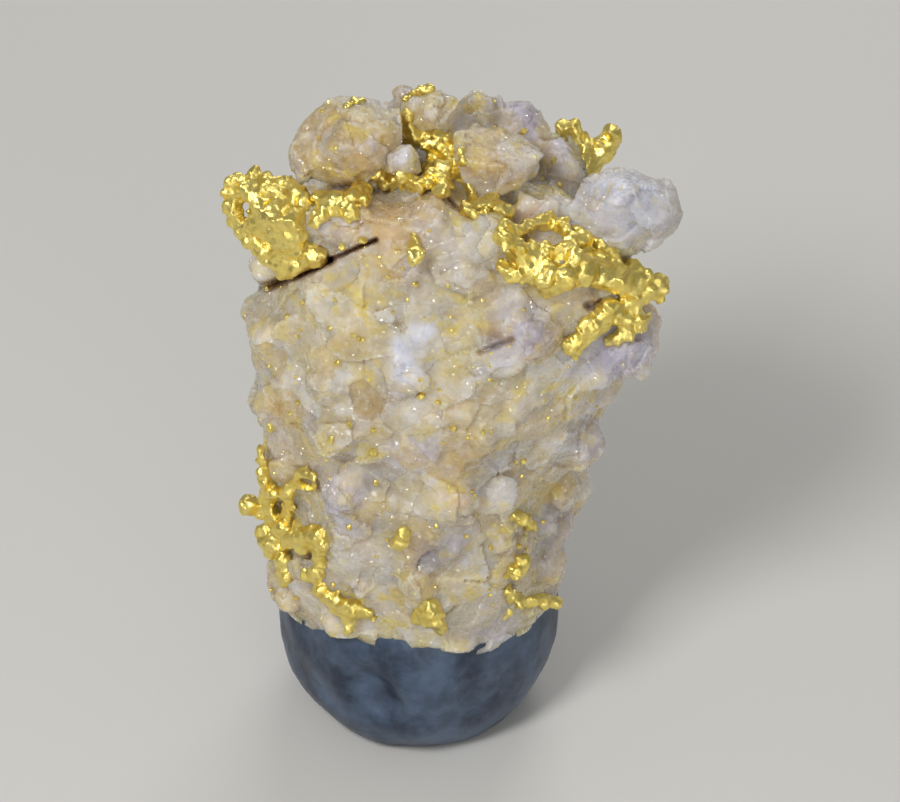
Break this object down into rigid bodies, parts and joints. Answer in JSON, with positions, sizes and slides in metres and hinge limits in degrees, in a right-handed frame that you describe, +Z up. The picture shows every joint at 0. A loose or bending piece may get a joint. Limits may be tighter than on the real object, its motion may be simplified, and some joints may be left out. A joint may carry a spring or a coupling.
{
  "type": "gold in quartz specimen",
  "caption": "Thumbnail mineral specimen: native gold nuggets, sheets and beads in the seams of a broken piece of milky vein quartz, held upright in a foot of putty.",
  "frame": {"origin": "middle of the putty foot's flat underside", "axes": "+Z up, along the specimen's height; the broad face with most of the gold looks along -Y"},
  "size_m": [0.0201, 0.0141, 0.0327],
  "materials": {
    "quartz": "broken, milky and glinting",
    "gold": "natural, satin to bright",
    "putty": "dull, finger-pressed"
  },
  "bodies": {
    "root": {"quartz": "quartz", "gold_left_nugget": "gold", "gold_left_seam": "gold", "gold_centre_seam": "gold", "gold_right_sheet": "gold", "gold_back_branch": "gold", "gold_drop": "gold", "gold_lower_left_cluster": "gold", "gold_lower_middle_grain": "gold", "gold_bottom_knob": "gold", "gold_right_spur": "gold", "gold_right_pair": "gold", "gold_right_cluster": "gold", "gold_left_crest": "gold", "gold_middle_crest": "gold", "putty_foot": "putty"}
  },
  "joints": []
}
